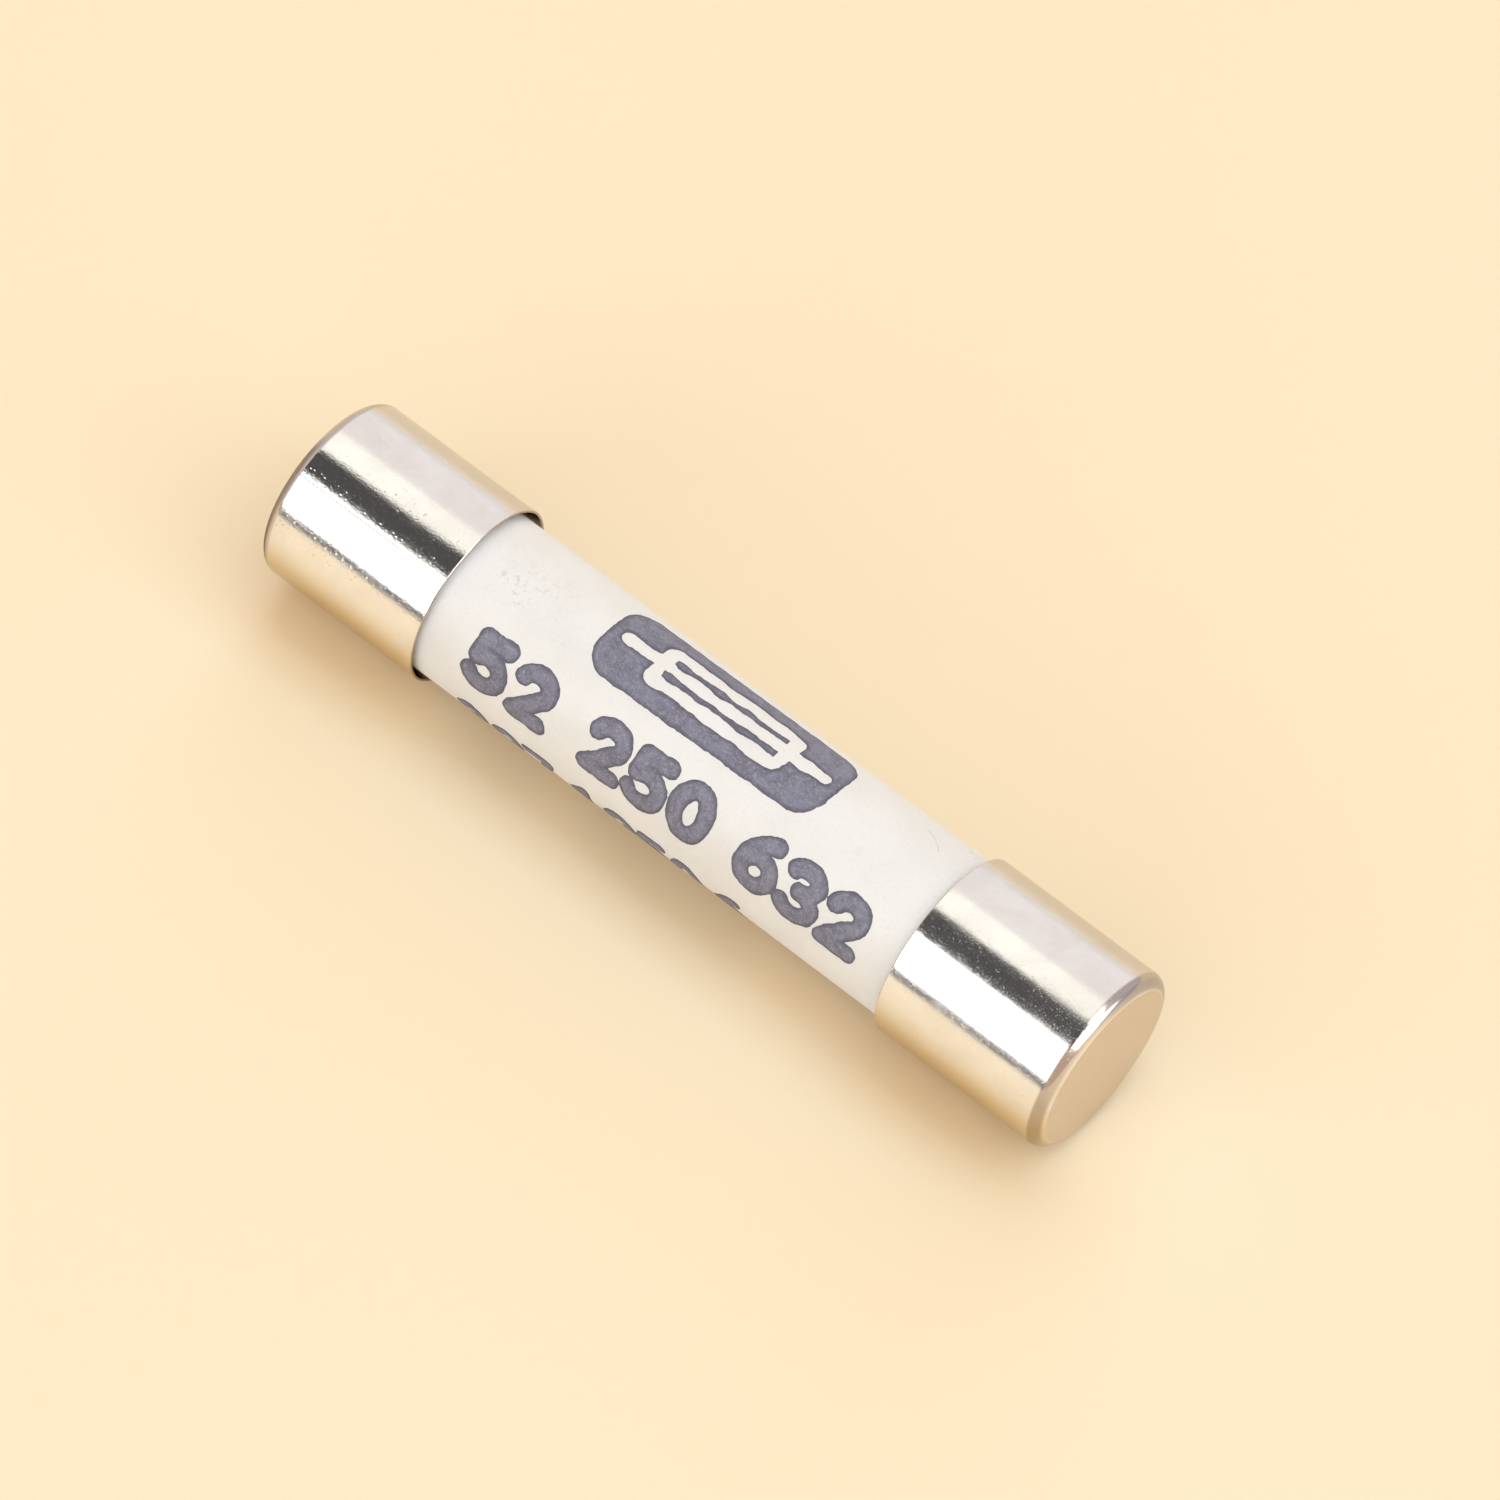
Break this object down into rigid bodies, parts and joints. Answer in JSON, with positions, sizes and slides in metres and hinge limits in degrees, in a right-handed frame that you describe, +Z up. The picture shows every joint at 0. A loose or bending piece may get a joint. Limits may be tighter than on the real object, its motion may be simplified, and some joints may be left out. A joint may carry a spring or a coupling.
{
  "type": "cartridge fuse",
  "caption": "Cylindrical sand-filled ceramic fuse with two pressed metal end caps and printed markings.",
  "frame": {"origin": "centre of the fuse, on its axis, halfway between the end faces", "axes": "+X along the fuse from the left cap to the right cap, +Z up as it lies, with the printed panel near the top"},
  "size_m": [0.0314, 0.0064, 0.0064],
  "materials": {
    "ceramic": "unglazed off-white, satin",
    "cap_metal": "bright nickel plate on brass, faint drawing lines",
    "cement": "dull brown adhesive cement",
    "fibre": "pressed fibre board",
    "solder": "dull soft solder",
    "element": "drawn silver wire",
    "sand": "packed quartz grains",
    "ink": "matt violet-grey marking ink, slightly mottled"
  },
  "bodies": {
    "root": {"ceramic_tube": "ceramic", "end_cap_left": "cap_metal", "end_cap_right": "cap_metal", "cement_ring_left": "cement", "cement_ring_right": "cement", "sealing_disc_left": "fibre", "sealing_disc_right": "fibre", "solder_left": "solder", "solder_right": "solder", "fuse_wire": "element", "quartz_sand": "sand", "print_panel": "ink", "print_rating_row": "ink", "print_lower_row": "ink"}
  },
  "joints": []
}
